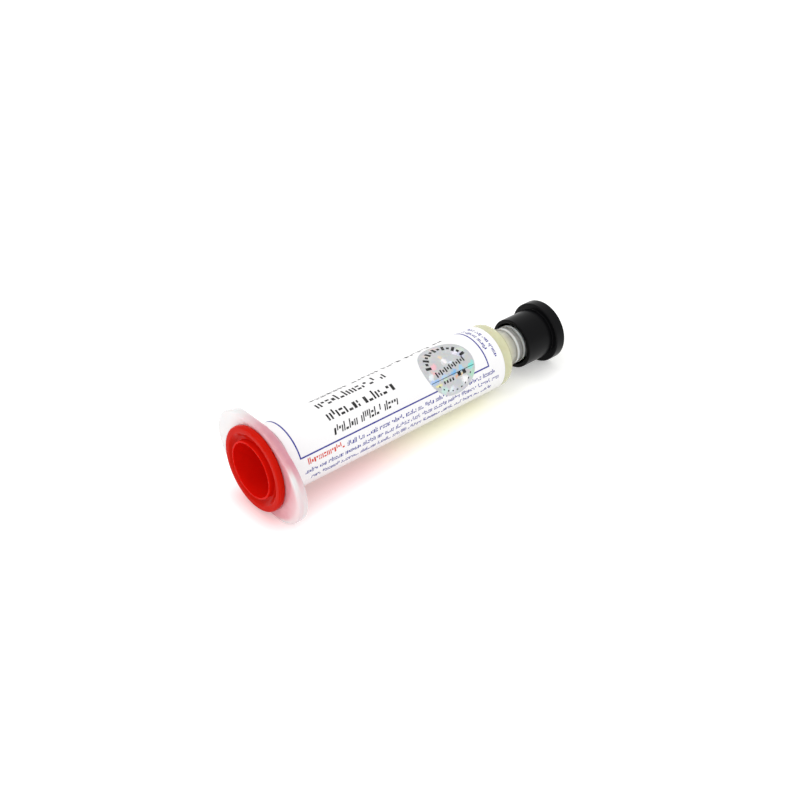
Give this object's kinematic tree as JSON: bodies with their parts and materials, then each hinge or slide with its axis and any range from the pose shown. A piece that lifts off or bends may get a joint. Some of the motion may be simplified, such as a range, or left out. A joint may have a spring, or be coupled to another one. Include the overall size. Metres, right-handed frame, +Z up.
{
  "type": "flux syringe",
  "caption": "Dispensing syringe of flux paste with a finger flange, a piston, a push-in end cap and a luer-lock tip cap, lying on its side.",
  "frame": {"origin": "on the surface that the syringe lies on, under the middle of its length", "axes": "+X towards the tip, +Z up; the barrel slopes down by about 2 degrees from the flange to the tip cap"},
  "size_m": [0.1046, 0.0343, 0.0244],
  "materials": {
    "natural_pp": "natural moulded polypropylene, milky and see-through",
    "red_pe": "moulded red polyethylene, soft gloss",
    "piston_pe": "moulded red polyethylene, soft gloss",
    "flux_paste": "pale yellow paste, wet gloss",
    "black_pp": "moulded black plastic, satin",
    "label_paper": "coated white paper",
    "blue_ink": "blue print",
    "black_ink": "black print",
    "red_ink": "red print",
    "foil_sticker": "embossed holographic foil"
  },
  "bodies": {
    "barrel": {"barrel": "natural_pp", "flux_paste": "flux_paste", "label": "label_paper", "print_blue": "blue_ink", "print_black": "black_ink", "print_red": "red_ink", "seal_sticker": "foil_sticker"},
    "end_cap": {"end_cap": "red_pe"},
    "piston": {"piston": "piston_pe"},
    "tip_cap": {"tip_cap": "black_pp"}
  },
  "joints": [
    {"name": "end_cap_pull", "type": "slide", "parent": "barrel", "child": "end_cap", "axis": [-0.9995, 0, 0.0331], "range_m": [0, 0.013]},
    {"name": "piston_slide", "type": "slide", "parent": "barrel", "child": "piston", "axis": [0.9995, 0, -0.0331], "range_m": [0, 0.05], "deforming": ["flux_paste"]},
    {"name": "tip_cap_pull", "type": "slide", "parent": "barrel", "child": "tip_cap", "axis": [0.9995, 0, -0.0331], "range_m": [0, 0.012]}
  ]
}
